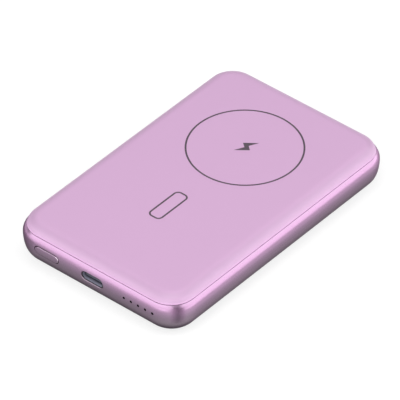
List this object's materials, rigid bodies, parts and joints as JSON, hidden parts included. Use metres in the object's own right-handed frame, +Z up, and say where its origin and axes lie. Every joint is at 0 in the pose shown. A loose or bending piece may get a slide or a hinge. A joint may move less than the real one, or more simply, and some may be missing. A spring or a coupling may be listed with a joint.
{
  "type": "power bank",
  "caption": "Slim wireless-charging power bank: pillowed matte cover, satin metallic band, end USB-C port, side-push button and status lights.",
  "frame": {"origin": "centre of the flat underside, on the surface it rests on", "axes": "+Z up through the charging face, +Y along the length away from the port end, +X to the right seen from the port end"},
  "size_m": [0.07, 0.11, 0.016],
  "materials": {
    "cover_plastic": "fine matte soft-touch moulded plastic",
    "frame_metal": "satin anodised aluminium, tinted to match the cover",
    "base_plastic": "fine matte moulded plastic",
    "button_metal": "satin anodised aluminium, as the frame",
    "port_steel": "drawn stainless steel",
    "port_plastic": "black moulded plastic",
    "contact_gold": "gold-plated contacts",
    "light_pipe": "smoked translucent plastic",
    "light_chip": "white LED package",
    "foam": "black closed-cell foam",
    "tape": "adhesive sheet",
    "cell_foil": "aluminium laminate pouch foil",
    "tab_nickel": "nickel strip",
    "insulation": "amber polyimide film",
    "carrier_plastic": "black moulded plastic",
    "magnet": "nickel-plated magnet",
    "shield_steel": "soft steel strip",
    "ferrite": "dark sintered ferrite",
    "copper": "enamelled copper wire",
    "board": "green solder mask on glass fibre board",
    "chip": "black moulded package",
    "capacitor": "tan ceramic",
    "screw_steel": "zinc-plated steel"
  },
  "bodies": {
    "case": {"mid_frame": "frame_metal", "top_cover": "cover_plastic", "bottom_cover": "base_plastic", "bottom_tape": "tape", "cell_pad": "foam", "battery_cell": "cell_foil", "cell_tabs": "tab_nickel", "cell_sheet": "insulation", "spacer_foam": "foam", "coil_carrier": "carrier_plastic", "magnet_shield": "shield_steel", "magnet_ring": "magnet", "bar_magnet": "magnet", "ferrite_sheet": "ferrite", "charging_coil": "copper", "coil_lead_outer": "copper", "coil_lead_inner": "copper", "cover_tape": "tape", "main_board": "board", "board_screws": "screw_steel", "power_inductor": "chip", "charge_controller": "chip", "coil_driver": "chip", "mosfets": "chip", "capacitors": "capacitor", "usb_shell": "port_steel", "usb_tongue": "port_plastic", "usb_contacts": "contact_gold", "switch_body": "chip", "light_guide": "light_pipe", "status_lights": "light_chip"},
    "power_button": {"button_cap": "button_metal", "switch_plunger": "port_plastic"}
  },
  "joints": [
    {"name": "button_press", "type": "slide", "parent": "case", "child": "power_button", "axis": [0, 1, 0], "range_m": [0, 0.00025], "stiffness_N_per_m": 1500, "springref_m": -0.0003}
  ]
}
